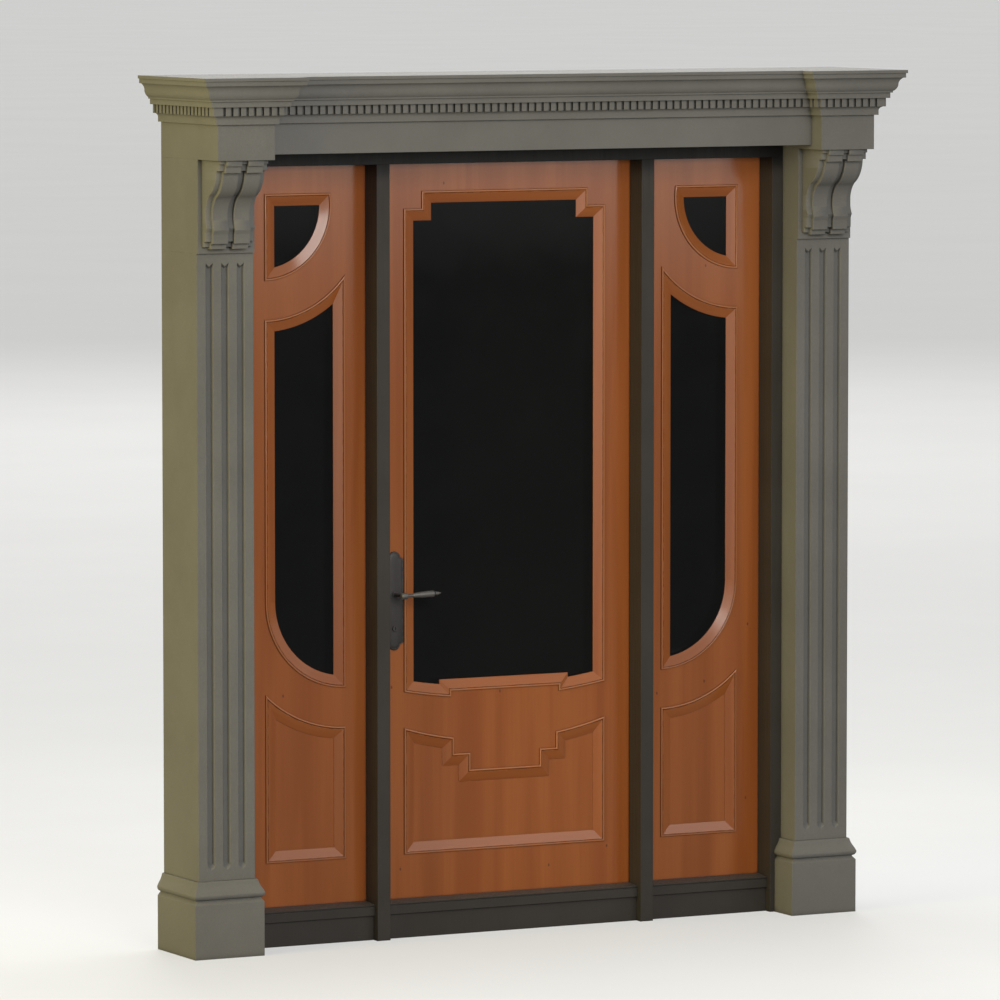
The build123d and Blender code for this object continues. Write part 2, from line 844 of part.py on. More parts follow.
def turned_lever(depth, direction, spindle):
    """A lever: a turned grip that rises a little, a neck to the plate and a length of spindle inward."""
    grip_depth = depth + direction * neck_length
    grip_middle = ((waist_reach + grip_reach) / 2, (grip_start_radius + grip_radius) / 2 + grip_swell)
    grip_line = (cos(radians(lever_rise)), 0, sin(radians(lever_rise)))
    with BuildPart() as lever:
        with BuildSketch(Plane((lever_x, -grip_depth, lever_level), x_dir=grip_line, z_dir=(0, -1, 0))):
            with BuildLine():
                Polyline(
                    (-hub_half, 0),
                    (-hub_half, hub_radius - hub_edge),
                    (-hub_half + hub_edge, hub_radius),
                    (hub_half - hub_edge, hub_radius),
                    (hub_half, hub_radius - hub_edge),
                    (hub_half, waist_radius),
                    (waist_reach, waist_radius),
                    (waist_reach, grip_start_radius),
                )
                ThreePointArc((waist_reach, grip_start_radius), grip_middle, (grip_reach, grip_radius))
                Polyline(
                    (grip_reach, grip_radius),
                    (grip_end_reach, finial_neck_radius),
                    (finial_ring_start, finial_neck_radius),
                    (finial_ring_start, finial_ring_radius),
                    (finial_ring_end, finial_ring_radius),
                    (finial_reach, finial_tip_radius),
                    (finial_reach, 0),
                    (-hub_half, 0),
                )
            make_face()
        revolve(axis=Axis((lever_x, -grip_depth, lever_level), grip_line))
        with BuildSketch(Plane.XZ.offset(depth)):
            with Locations((lever_x, lever_level)):
                Circle(neck_radius)
        extrude(amount=direction * neck_length)
        if spindle > 0:
            with BuildSketch(Plane.XZ.offset(depth)):
                with Locations((lever_x, lever_level)):
                    Circle(spindle_radius)
            extrude(amount=-direction * spindle)
    return lever


outer_lever_seat = leaf_front + plate_thickness + fit_gap
inner_lever_seat = leaf_back - plate_thickness - fit_gap
keep(turned_lever(outer_lever_seat, 1, outer_lever_seat - inner_lever_seat), "outer_lever")
keep(turned_lever(inner_lever_seat, -1, 0), "inner_lever")

# Hinges: lower knuckle with its pin on the frame, upper knuckle on the door

with BuildPart() as frame_hinges:
    for level in hinge_levels:
        with BuildSketch(Plane.XY.offset(level - knuckle_length)):
            with Locations((hinge_x, 0)):
                Rectangle(
                    hinge_plate_width - knuckle_radius, hinge_plate_thickness, align=(Align.MIN, Align.MIN)
                )
                Rectangle(knuckle_radius, hinge_back, align=(Align.MIN, Align.MIN))
            with Locations((hinge_x, hinge_back)):
                Circle(knuckle_radius)
        extrude(amount=knuckle_length)
        with BuildSketch(Plane.XY.offset(level)):
            with Locations((hinge_x, hinge_back)):
                Circle(pin_radius)
        extrude(amount=knuckle_length)
keep(frame_hinges, "frame_hinges")

with BuildPart() as door_hinges:
    for level in hinge_levels:
        with BuildSketch(Plane.XY.offset(level + knuckle_gap)):
            with Locations((hinge_x, -leaf_back)):
                Rectangle(hinge_plate_width, hinge_plate_thickness, align=(Align.MAX, Align.MIN))
                Rectangle(knuckle_radius, hinge_back + leaf_back, align=(Align.MAX, Align.MIN))
            with Locations((hinge_x, hinge_back)):
                Circle(knuckle_radius)
            with Locations((hinge_x, hinge_back)):
                Circle(pin_radius + pin_clearance, mode=Mode.SUBTRACT)
        extrude(amount=knuckle_length)
keep(door_hinges, "door_hinges")
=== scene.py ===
# %% [markdown]
# # An entrance door between sidelights, in a stone surround
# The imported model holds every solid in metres, in one frame: X across the front, Y into the wall, Z up
# from the ground. The solids could be copied and edited here, but their sizes would then live in two
# places. So this lesson loads them as they are, gives each a finish, and remakes only the pieces whose
# surface deserves more than a plain solid: the planted mouldings, the consoles and the lever set.

# %% Load the frame
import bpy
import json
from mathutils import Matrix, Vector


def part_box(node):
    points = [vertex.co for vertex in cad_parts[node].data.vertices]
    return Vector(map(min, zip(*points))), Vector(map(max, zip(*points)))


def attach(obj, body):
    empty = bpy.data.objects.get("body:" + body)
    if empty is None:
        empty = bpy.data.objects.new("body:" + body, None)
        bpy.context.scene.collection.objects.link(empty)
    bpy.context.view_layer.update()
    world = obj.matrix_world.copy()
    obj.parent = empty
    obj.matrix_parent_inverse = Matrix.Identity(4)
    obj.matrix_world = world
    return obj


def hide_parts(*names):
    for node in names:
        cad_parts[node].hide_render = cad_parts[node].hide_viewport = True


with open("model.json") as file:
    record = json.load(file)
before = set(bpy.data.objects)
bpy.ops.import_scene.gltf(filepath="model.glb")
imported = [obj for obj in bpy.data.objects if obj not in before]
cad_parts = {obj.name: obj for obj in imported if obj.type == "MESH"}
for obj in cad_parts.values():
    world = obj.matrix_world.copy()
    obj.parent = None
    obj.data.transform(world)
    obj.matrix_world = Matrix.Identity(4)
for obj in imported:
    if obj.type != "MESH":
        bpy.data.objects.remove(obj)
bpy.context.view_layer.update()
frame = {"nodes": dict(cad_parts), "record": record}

# %% Blender, numpy and the view settings
import json
from math import pi, radians

import bmesh
import bpy
import numpy as np

scene = bpy.context.scene
scene.view_settings.view_transform = "Standard"

# %% [markdown]
# ## The camera
# The picture was taken with a long lens from the left and a little above the middle of the door, so the
# uprights stay nearly parallel. A long lens far away gives the same perspective. The place and the two
# angles come from fitting the corners of the surround.

# %% Camera
camera_data = bpy.data.cameras.new("long_lens")
camera_data.sensor_width = 36
camera_data.lens = 257.16
camera_data.clip_end = 600
camera = bpy.data.objects.new("long_lens", camera_data)
camera.location = (-9.4211, -18.2062, 2.9493)
camera.rotation_euler = (radians(85.212), 0, radians(-27.417))
scene.collection.objects.link(camera)
scene.camera = camera
print("camera lens", camera_data.lens)

# %% [markdown]
# ## Surfaces from grids
# Every new piece is a grid of points worked out with whole numpy arrays: one parameter runs along the
# rows and one along the columns. A mesh could be drawn by hand or with operators, but a grid keeps the
# formula in sight. The helper below joins grids into one mesh, closes their seams, and turns the faces
# outwards by the sign of the enclosed volume.


# %% Faces of a grid
def grid_cells(rows, columns, wrap_rows, wrap_columns):
    """Four corners (row, column) for each cell, (i, j) to (i + 1, j + 1); a wrapped grid has one more row or column."""
    i = np.arange(rows if wrap_rows else rows - 1)[:, None]
    j = np.arange(columns if wrap_columns else columns - 1)[None, :]
    row = np.stack([i + 0 * j, i + 0 * j, i + 1 + 0 * j, i + 1 + 0 * j], axis=-1).reshape(-1, 4)
    column = np.stack([j + 0 * i, j + 1 + 0 * i, j + 1 + 0 * i, j + 0 * i], axis=-1).reshape(-1, 4)
    return row, column


def is_inward(points, faces):
    """True where the enclosed volume, a sum of a . (b x c) over the triangles, is negative."""
    a, b, c, d = (points[faces[:, k]] for k in range(4))
    return (a * np.cross(b, c)).sum() + (a * np.cross(c, d)).sum() < 0


# %% A piece from closed grids
def make_piece(name, grids, body, node, crease=20):
    """Joins grids of (points, wrap_rows, wrap_columns) into one closed piece that rides and replaces a node.

    A map called grain gives each corner its way along the columns and across the rows, both in metres.
    """
    points, faces, grain, first = [], [], [], 0
    for grid, wrap_rows, wrap_columns in grids:
        rows, columns = grid.shape[:2]
        flat = grid.reshape(-1, 3)
        row, column = grid_cells(rows, columns, wrap_rows, wrap_columns)
        quads = row % rows * columns + column % columns
        if is_inward(flat, quads):
            quads, row, column = (part[:, ::-1] for part in (quads, row, column))
        along = np.linalg.norm(np.diff(grid, axis=1, append=grid[:, :1]), axis=2).mean(axis=0).cumsum()
        across = np.linalg.norm(np.diff(grid, axis=0, append=grid[:1]), axis=2).mean(axis=1).cumsum()
        along, across = np.insert(along, 0, 0), np.insert(across, 0, 0)
        points.append(flat)
        faces.append(quads + first)
        grain.append(np.stack([along[column], across[row]], axis=-1).reshape(-1, 2))
        first += len(flat)
    points, faces, grain = (np.concatenate(part) for part in (points, faces, grain))
    mesh = bpy.data.meshes.new(name)
    mesh.from_pydata(points.tolist(), [], faces.tolist())
    layer = mesh.uv_layers.new(name="grain")
    layer.data.foreach_set("uv", grain.astype(np.float32).ravel())
    close = bmesh.new()
    close.from_mesh(mesh)
    bmesh.ops.remove_doubles(close, verts=close.verts, dist=2e-6)
    bmesh.ops.dissolve_degenerate(close, edges=close.edges, dist=1e-7)
    close.to_mesh(mesh)
    close.free()
    mesh.polygons.foreach_set("use_smooth", np.ones(len(mesh.polygons), bool))
    mesh.set_sharp_from_angle(angle=radians(crease))
    piece = bpy.data.objects.new(name, mesh)
    scene.collection.objects.link(piece)
    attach(piece, body)
    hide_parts(node)
    print(name, "faces:", len(mesh.polygons))
    return piece


# %% [markdown]
# ## Planted mouldings
# On the real door each light and panel is framed by a strip glued to the veneered leaf: a narrow
# round bead, then a bevel that falls to the glass. Curves with a bevel could make it, but their corners
# are not true mitres. Here the outline is a function of its inset, so carrying the section round it means
# asking for the outline at each inset of the section. Mitres, arcs and steps then come out exact.


# %% Runs of an outline
def straight(start, end, steps=1):
    """Points from start towards end: start + (end - start) * t, for every inset at once."""
    t = np.arange(steps) / steps
    return np.stack([start[k] + (end[k] - start[k]) * t for k in (0, 1)], axis=-1)


def bend(centre, start, end, steps=28):
    """Points on the arc from start towards end: centre + radius * (cos, sin) of an angle that turns the short way."""
    t = np.arange(steps) / steps
    first = np.arctan2(start[1] - centre[1], start[0] - centre[0])
    last = np.arctan2(end[1] - centre[1], end[0] - centre[0])
    angle = first + ((last - first + pi) % (2 * pi) - pi) * t
    radius = np.hypot(start[0] - centre[0], start[1] - centre[1])
    return np.stack([centre[0] + radius * np.cos(angle), centre[1] + radius * np.sin(angle)], axis=-1)


def below_arc(centre, radius, x):
    """Height of a circle's lower half at x."""
    return centre[1] - np.sqrt(radius**2 - (x - centre[0]) ** 2)


# %% Outline of the door light
light_half, light_top = 0.325, 2.130
light_dip, light_dip_radius = 0.6695, 1.790


def door_light(inset):
    """Notched upper corners, straight sides, and a foot of two arcs with a raised strip between them."""
    side, top = light_half - inset, light_top - inset
    notch_x, notch_z = 0.268 - inset, 2.080 - inset
    strip_x, strip_z = 0.174 + inset, 0.695 + inset
    centre, radius = (0 * inset, light_dip + light_dip_radius + 0 * inset), light_dip_radius - inset
    side_z, step_z = below_arc(centre, radius, side), below_arc(centre, radius, strip_x)
    corners = [(side, side_z), (side, notch_z), (notch_x, notch_z), (notch_x, top)]
    mirrored = [(-x, z) for x, z in reversed(corners)]
    path = corners + mirrored
    runs = [straight(a, b) for a, b in zip(path[:-1], path[1:])]
    runs.append(bend(centre, (-side, side_z), (-strip_x, step_z), 10))
    foot = [(-strip_x, step_z), (-strip_x, strip_z), (strip_x, strip_z), (strip_x, step_z)]
    runs += [straight(a, b) for a, b in zip(foot[:-1], foot[1:])]
    runs.append(bend(centre, (strip_x, step_z), (side, side_z), 10))
    return np.concatenate(runs, axis=1)


# %% Outline of the door panel
panel_foot = 0.232


def door_panel(inset):
    """A square foot and a top that comes down in two arcs and two steps to the middle."""
    side, foot = light_half - inset, panel_foot + inset
    step_x, step_z = 0.1654 + inset, 0.5145 - inset
    drop_x, drop_z = 0.112 + inset, 0.466 - inset
    centre, radius = (0 * inset, 0.549 + 1.120 + 0 * inset), 1.120 + inset
    side_z, arc_z = below_arc(centre, radius, side), below_arc(centre, radius, step_x)
    bottom = [(-side, side_z), (-side, foot), (side, foot), (side, side_z)]
    steps = [(step_x, arc_z), (step_x, step_z), (drop_x, step_z), (drop_x, drop_z)]
    steps += [(-x, z) for x, z in reversed(steps)]
    runs = [straight(a, b) for a, b in zip(bottom[:-1], bottom[1:])]
    runs.append(bend(centre, (side, side_z), (step_x, arc_z), 10))
    runs += [straight(a, b) for a, b in zip(steps[:-1], steps[1:])]
    runs.append(bend(centre, (-step_x, arc_z), (-side, side_z), 10))
    return np.concatenate(runs, axis=1)


# %% Outlines of the sidelights
side_outer, side_inner = 0.763, 0.511
head_centre, foot_centre = (-side_outer, 2.095), (-side_inner, 0.975)


def quarter_light(inset):
    """A quarter-round light with its square corner at the upper outer side."""
    left, top, radius = -side_outer + inset, light_top - inset, 0.210 - inset
    right = head_centre[0] + np.sqrt(radius**2 - (top - head_centre[1]) ** 2)
    foot = below_arc(head_centre, radius, left)
    runs = [straight((left, foot), (left, top)), straight((left, top), (right, top))]
    runs.append(bend(head_centre, (right, top), (left, foot), 36))
    return np.concatenate(runs, axis=1)


def tall_light(inset):
    """A tall light, hollowed at the top round the quarter light's centre and rounded at its outer foot."""
    left, right = -side_outer + inset, -side_inner - inset
    head_radius, foot_radius = 0.320 + inset, side_outer - side_inner - inset
    left_top, right_top = below_arc(head_centre, head_radius, left), below_arc(head_centre, head_radius, right)
    right_foot, left_foot = below_arc(foot_centre, foot_radius, right), foot_centre[1] + 0 * inset
    runs = [straight((left, left_foot), (left, left_top))]
    runs.append(bend(head_centre, (left, left_top), (right, right_top), 30))
    runs.append(straight((right, right_top), (right, right_foot)))
    runs.append(bend(foot_centre, (right, right_foot), (left, left_foot), 40))
    return np.concatenate(runs, axis=1)


def side_panel(inset):
    """A panel whose top is an arc round the centre of the light's foot above it."""
    left, right, foot = -side_outer + inset, -side_inner - inset, panel_foot + inset
    radius = 0.363 + inset
    left_top, right_top = below_arc(foot_centre, radius, left), below_arc(foot_centre, radius, right)
    corners = [(left, left_top), (left, foot), (right, foot), (right, right_top)]
    runs = [straight(a, b) for a, b in zip(corners[:-1], corners[1:])]
    runs.append(bend(foot_centre, (right, right_top), (left, left_top), 30))
    return np.concatenate(runs, axis=1)


# %% Section of the moulding
leaf_face = 0.074


def moulding_section(bevel_end, seat):
    """Inset and rise of the section: a quirk, a half-round bead, a groove, a falling bevel, and a flat back."""
    turn = np.linspace(pi, 0.10 * pi, 19)
    bead = np.stack([0.0036 + 0.0036 * np.cos(turn), 0.0012 + 0.0034 * np.sin(turn)], axis=1)
    quirk = [[0.0014, 0.0], [0.0014, 0.0008]]
    bevel = np.array([[0.0080, 0.0027], [0.0340, bevel_end + 0.0002]])
    fall = bevel[0] + np.array([0, 0.03, 0.97, 1])[:, None] * (bevel[1] - bevel[0])
    back = [[0.0345, bevel_end - 0.0003], [0.0345, seat], [0.0103, seat], [0.0103, 0.0]]
    return np.concatenate([quirk, bead, [[0.0073, 0.0019]], fall, back])


def moulding(outline, section, mirror=1):
    """The point at (inset, rise) of the section and place s of the path is outline(inset)(s), rise in front of the leaf."""
    inset, rise = section[:, :1], section[:, 1:]
    flat = outline(inset)
    depth = np.broadcast_to(-leaf_face - rise, flat.shape[:2])
    return np.stack([mirror * flat[..., 0], depth, flat[..., 1]], axis=-1), True, True


light_section = moulding_section(-0.0060, -0.0080)
panel_section = moulding_section(-0.0050, -0.0060)

# %% Mouldings of the door and the sidelights
mouldings = [
    make_piece("light_strip_door", [moulding(door_light, light_section)], "door", "door_light_moulding"),
    make_piece("panel_strip_door", [moulding(door_panel, panel_section)], "door", "door_panel_moulding"),
]
for side, mirror in (("left", 1), ("right", -1)):
    lights = [moulding(outline, light_section, mirror) for outline in (quarter_light, tall_light)]
    mouldings.append(make_piece(f"light_strips_{side}", lights, "surround", f"{side}_light_mouldings"))
    mouldings.append(make_piece(f"panel_strip_{side}", [moulding(side_panel, panel_section, mirror)], "surround",
                                f"{side}_panel_moulding"))

# %% [markdown]
# ## Consoles
# Each bracket is carved from one block: a stepped cap, an S-shaped front, a ridge and a lipped foot, with
# two ribs that run over all of them. Its front is a side outline carried across the width, where the ribs
# push it forward and a little down. So the grid has the outline along its rows, the ribs across its columns.


# %% Side outline of the console
def console_outline():
    """Reach in front of the pier head and drop, down the front: steps for the cap, two arcs, a ridge and the foot."""
    def arc(start, through, end, steps):
        """Points on the circle through three points, found from its bisectors."""
        a, b, c = (np.array(p) for p in (start, through, end))
        m = 2 * np.array([b - a, c - a])
        centre = np.linalg.solve(m, np.array([b @ b - a @ a, c @ c - a @ a]))
        angles = np.unwrap([np.arctan2(*(p - centre)[::-1]) for p in (a, b, c)])
        t = np.linspace(angles[0], angles[2], steps)
        return centre + np.hypot(*(a - centre)) * np.stack([np.cos(t), np.sin(t)], axis=1)

    cap = [[0, 0], [0.1180, 0], [0.1190, 0.0010], [0.1190, 0.0090], [0.1184, 0.0100], [0.1120, 0.0102],
           [0.1110, 0.0112], [0.1110, 0.0280], [0.1100, 0.0290], [0.0950, 0.0292]]
    swell = arc((0.0940, 0.0300), (0.0823, 0.0680), (0.0470, 0.1000), 18)
    hollow = arc((0.0470, 0.1000), (0.0230, 0.1440), (0.0315, 0.1885), 24)[1:]
    foot = [[0.0320, 0.1900], [0.0312, 0.1912], [0.0266, 0.2004], [0.0260, 0.2014], [0.0260, 0.2272],
            [0.0252, 0.2280], [0.0138, 0.2282], [0.0130, 0.2290], [0.0130, 0.2422], [0.0122, 0.2430], [0, 0.2430]]
    return np.concatenate([cap, swell, hollow, foot])


# %% Ribs across the console
rib_border, rib_groove, rib_forward, rib_down = 0.016, 0.017, 0.009, 0.006


def rib_columns(width):
    """Places across the console and the rib's share there: 0 on borders and groove, 1 on ribs, a quarter circle between."""
    turn = np.linspace(0, pi / 2, 6)
    shoulder = np.stack([0.0016 * (1 - np.cos(turn)), np.sin(turn)], axis=1)
    inner, outer = rib_groove / 2, width / 2 - rib_border
    rising = [inner, 0] + shoulder
    falling = ([outer, 0] + shoulder * [-1, 1])[::-1]
    edge = [[width / 2 - 0.0012, 0], [width / 2 - 0.0006, 0], [width / 2, 0]]
    half = np.concatenate([rising, falling, edge])
    return np.concatenate([(half * [-1, 1])[::-1], half])


def console(side):
    """Point at (outline k, column x): the outline, moved forward and down by the rib's share where the reach allows."""
    low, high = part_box(f"{side}_console")
    width, middle = high.x - low.x, (low.x + high.x) / 2
    reach, drop = console_outline().T[:, :, None]
    across, share = rib_columns(width).T
    ease = np.interp(np.abs(across), width / 2 - np.array([0.0012, 0.0006, 0]), [0, 0.0004, 0.0012])
    front = np.clip(reach - ease, 0, None) + rib_forward * share * np.clip(reach / 0.008, 0, 1)
    fallen = drop + rib_down * share * np.clip(drop / 0.008, 0, 1)
    depth = np.concatenate([front, 0 * front], axis=1)
    down = np.concatenate([fallen, fallen[:, ::-1]], axis=1)
    x = np.broadcast_to(middle + np.concatenate([across, across[::-1]]), depth.shape)
    return np.stack([x, high.y - depth, high.z - down], axis=-1), False, True


consoles = [make_piece(f"scroll_bracket_{side}", [console(side)], "surround", f"{side}_console", 38)
            for side in ("left", "right")]

# %% [markdown]
# ## The lever set
# The lever is turned on a lathe: a barrel on the spindle, a thin waist, a grip that swells towards its
# end, a ring and a pointed finial. A turned piece is its half profile spun round an axis, so the grid has
# the profile along its rows and the angle across its columns. The backplate is a slightly domed plate.


# %% Turned shapes
def turned(profile, origin, axis, steps=48):
    """Point at (profile k, angle a): origin + along * axis + radius * (cos a, sin a) in the plane across the axis."""
    profile = np.array(profile)
    angle = np.linspace(0, 2 * pi, steps, endpoint=False)
    axis = np.array(axis, float)
    side = np.array([-axis[2], 0.0, np.hypot(axis[0], axis[1])])
    other = np.cross(axis, side)
    ring = np.cos(angle)[:, None] * side + np.sin(angle)[:, None] * other
    return np.array(origin) + profile[:, :1, None] * axis + profile[:, 1:, None] * ring, False, True


def eased(points, radius=0.0007, steps=4):
    """The profile with its inner corners rounded: each corner becomes a curve between points near it on both sides."""
    p = np.array(points, float)
    before, corner, after = p[:-2], p[1:-1], p[2:]
    pull_back = np.minimum(radius, 0.45 * np.linalg.norm(before - corner, axis=1))[:, None]
    pull_on = np.minimum(radius, 0.45 * np.linalg.norm(after - corner, axis=1))[:, None]
    start = corner + pull_back * (before - corner) / np.linalg.norm(before - corner, axis=1)[:, None]
    end = corner + pull_on * (after - corner) / np.linalg.norm(after - corner, axis=1)[:, None]
    t = np.linspace(0, 1, steps)[None, :, None]
    curve = (1 - t) ** 2 * start[:, None] + 2 * t * (1 - t) * corner[:, None] + t**2 * end[:, None]
    return np.concatenate([p[:1], curve.reshape(-1, 2), p[-1:]])


# %% Levers
lever_x, lever_z = -0.3565, 0.982
lever_rise = radians(2)
neck_length = 0.058
grip_t = np.linspace(0, 1, 14)
grip_swell = np.stack([0.029 + 0.063 * grip_t, 0.0062 + 0.0033 * grip_t + 0.0012 * np.sin(pi * grip_t)], axis=1)
grip_profile = eased(
    [[-0.010, 0], [-0.010, 0.0075], [-0.008, 0.0095], [0.008, 0.0095], [0.010, 0.0075], [0.010, 0.0052],
     [0.0125, 0.0045], [0.0272, 0.0045], [0.0282, 0.0052], *grip_swell.tolist(), [0.0950, 0.0082], [0.0970, 0.0046],
     [0.0990, 0.0040], [0.0992, 0.0060], [0.1028, 0.0060], [0.1034, 0.0056], [0.1090, 0.0044], [0.1145, 0.0024],
     [0.1176, 0.0010], [0.1180, 0]])
neck_profile = eased([[0, 0], [0, 0.0082], [0.0025, 0.0082], [0.0045, 0.0060], [0.0090, 0.0055],
                      [neck_length - 0.004, 0.0055], [neck_length - 0.004, 0]])


def lever(seat, direction):
    """A grip turned about a line that rises a little along X, at the end of a neck turned about Y."""
    line = (np.cos(lever_rise), 0, np.sin(lever_rise))
    grip = turned(grip_profile, (lever_x, -seat - direction * neck_length, lever_z), line)
    neck = turned(neck_profile, (lever_x, -seat, lever_z), (0, -direction, 0), 32)
    return [grip, neck]


plate_face_out, plate_face_in = 0.0823, -0.0023
levers = [
    make_piece("turned_lever_outer", lever(plate_face_out, 1), "lever", "outer_lever", 35),
    make_piece("turned_lever_inner", lever(plate_face_in, -1), "lever", "inner_lever", 35),
]

# %% Backplates
plate_low, plate_high, plate_half, plate_end = 0.822, 1.104, 0.0285, 0.017


def plate_outline():
    """Half-round ends between hollow shoulders: one upper right quarter, mirrored to the other three."""
    shoulder = plate_high - 0.021
    hollow = plate_half - plate_end
    end_z = shoulder + hollow / 2
    rise = plate_high - end_z
    radius = (plate_end**2 + rise**2) / (2 * rise)
    turn = np.linspace(0, np.arcsin(plate_end / radius), 14)
    cap = np.stack([radius * np.sin(turn), plate_high - radius + radius * np.cos(turn)], axis=1)
    t = np.linspace(0, 1, 9)[1:, None]
    hollow_curve = ((1 - t) ** 2 * [plate_end, end_z] + 2 * t * (1 - t) * [plate_end + 0.0022, shoulder + 0.0012]
                    + t**2 * [plate_half, shoulder])
    quarter = np.concatenate([cap, hollow_curve])
    middle = (plate_low + plate_high) / 2
    right = np.concatenate([quarter, (quarter * [1, -1] + [0, 2 * middle])[::-1]])
    return np.concatenate([right, (right * [-1, 1])[::-1][1:-1]])


def backplate(seat, direction):
    """The outline drawn in towards the plate's middle line by a share, at a depth that rounds over into a low dome."""
    outline = plate_outline()
    spine = np.stack([0 * outline[:, 0], np.clip(outline[:, 1], plate_low + 0.03, plate_high - 0.03)], axis=1)
    share = np.array([1, 0, 0, 0, 0.02, 0.06, 0.12, 0.14, 0.17, 0.4, 0.7, 1])[:, None, None]
    rise = np.array([0, 0, 0.0030, 0.0052, 0.0062, 0.0067, 0.0069, 0.0062, 0.0068, 0.0074, 0.0078, 0.0080])
    flat = outline + share * (spine - outline)
    depth = np.broadcast_to(-seat - direction * rise[:, None], flat.shape[:2])
    return np.stack([lever_x + flat[..., 0], depth, flat[..., 1]], axis=-1), False, True


plates = [
    make_piece("backplate_outer", [backplate(0.074, 1)], "door", "outer_backplate", 40),
    make_piece("backplate_inner", [backplate(0.006, -1)], "door", "inner_backplate", 40),
]

# %% Lock cylinder
def cylinder_face(end, direction):
    """A disc turned about Y whose face sinks by 2.5 mm inside a key slot: the slot is where |x| and |z| are small."""
    radius = np.concatenate([np.linspace(0, 0.0076, 40), [0.0081, 0.0084, 0.0085, 0.0085]])[:, None]
    rise = np.concatenate([np.zeros(40), [-0.0001, -0.0005, -0.0010, -0.0450]])[:, None]
    angle = np.linspace(0, 2 * pi, 120, endpoint=False)[None, :]
    x, z = radius * np.cos(angle), radius * np.sin(angle)
    slot = 0.0025 * ((np.abs(x) < 0.0008) & (np.abs(z) < 0.0044))
    depth = -end - direction * (rise - slot + 0 * x)
    return np.stack([lever_x + x, depth, 0.884 + z], axis=-1), False, True


cylinder = make_piece("key_cylinder", [cylinder_face(0.085, 1), cylinder_face(-0.005, -1)], "door",
                      "lock_cylinder")

# %% [markdown]
# ## Shader tools
# A finish is a few layers: a base colour that drifts, marks on top, a roughness that follows them, and a
# bump. Nodes could be placed one by one in the editor. Two small helpers keep the script readable: one
# adds a node and sets or links its sockets, the other does the same for a sum or a product.


# %% Node helpers
def put(tree, kind, options=None, **sockets):
    """Adds a node. Options are its own settings; each socket is linked if given a socket, and set otherwise."""
    made = tree.nodes.new(kind)
    for option, value in (options or {}).items():
        setattr(made, option, value)
    for name, value in sockets.items():
        target = made.inputs[name.replace("_", " ")]
        if isinstance(value, bpy.types.NodeSocket):
            tree.links.new(value, target)
        else:
            target.default_value = value
    return made


def work(tree, operation, first, second=0.5, clamp=False):
    """One Math node on two values, and its result."""
    made = tree.nodes.new("ShaderNodeMath")
    made.operation = operation
    made.use_clamp = clamp
    for target, value in zip(made.inputs, (first, second)):
        if isinstance(value, bpy.types.NodeSocket):
            tree.links.new(value, target)
        else:
            target.default_value = value
    return made.outputs[0]


def span(tree, value, low, high, to_low=0.0, to_high=1.0):
    """Maps a value from one range to another, smoothly and without passing the ends."""
    made = put(tree, "ShaderNodeMapRange", {"interpolation_type": "SMOOTHSTEP"}, Value=value,
               From_Min=low, From_Max=high, To_Min=to_low, To_Max=to_high)
    return made.outputs["Result"]


def tint(tree, share, first, second, blend="MIX"):
    """Two colours mixed by a share, or by a blend such as MULTIPLY."""
    made = tree.nodes.new("ShaderNodeMix")
    made.data_type = "RGBA"
    made.blend_type = blend
    for target, value in ((made.inputs["Factor"], share), (made.inputs[6], first), (made.inputs[7], second)):
        if isinstance(value, bpy.types.NodeSocket):
            tree.links.new(value, target)
        else:
            target.default_value = value
    return made.outputs[2]


def new_group(name, inputs, outputs):
    """A node group with named sockets; returns its tree, its input sockets and its output node."""
    tree = bpy.data.node_groups.new(name, "ShaderNodeTree")
    for label, kind, value in inputs:
        socket = tree.interface.new_socket(label, in_out="INPUT", socket_type=kind)
        if value is not None:
            socket.default_value = value
    for label, kind in outputs:
        tree.interface.new_socket(label, in_out="OUTPUT", socket_type=kind)
    return tree, tree.nodes.new("NodeGroupInput").outputs, tree.nodes.new("NodeGroupOutput").inputs


def use_group(tree, group, **sockets):
    """Places a group in a material with its own values."""
    made = put(tree, "ShaderNodeGroup", {"node_tree": group})
    for name, value in sockets.items():
        target = made.inputs[name.replace("_", " ")]
        if isinstance(value, bpy.types.NodeSocket):
            tree.links.new(value, target)
        else:
            target.default_value = value
    return made.outputs


def new_finish(name):
    """A material with its node tree, its Principled shader and Object coordinates."""
    finish = bpy.data.materials.new(name)
    finish.use_nodes = True
    tree = finish.node_tree
    return finish, tree, tree.nodes["Principled BSDF"], tree.nodes.new("ShaderNodeTexCoord").outputs["Object"]


# %% [markdown]
# ## Effects that several finishes share
# Handled edges are worn and corners get painted shade, whether they are stone, paint, varnish or metal; on
# the varnish the same edge mask also paints highlights. The edge mask compares the surface normal with one
# rounded over a small radius, and the painted shade comes from how little sky a point sees nearby. Drift is
# slow cloudiness plus a fine speckle.

# %% Worn, highlit and eased edges
# The edge mask marks real wear on stone, paint and metal, and on the varnished wood it also paints highlights.
edges_group, given, out = new_group(
    "worn_and_highlit_edges", [("Radius", "NodeSocketFloat", 0.002), ("Break Up", "NodeSocketFloat", 40.0)],
    [("Wear And Highlight", "NodeSocketFloat"), ("Normal", "NodeSocketVector")])
rounded = put(edges_group, "ShaderNodeBevel", {"samples": 4}, Radius=given["Radius"])
surface = put(edges_group, "ShaderNodeNewGeometry")
facing = put(edges_group, "ShaderNodeVectorMath", {"operation": "DOT_PRODUCT"})
edges_group.links.new(rounded.outputs[0], facing.inputs[0])
edges_group.links.new(surface.outputs["Normal"], facing.inputs[1])
bend_share = span(edges_group, facing.outputs["Value"], 0.99, 0.86)
place = put(edges_group, "ShaderNodeTexCoord").outputs["Object"]
patches = put(edges_group, "ShaderNodeTexNoise", Vector=place, Scale=given["Break Up"], Detail=4.0)
worn_and_highlit = work(edges_group, "MULTIPLY", bend_share, span(edges_group, patches.outputs["Fac"], 0.38, 0.62))
edges_group.links.new(worn_and_highlit, out["Wear And Highlight"])
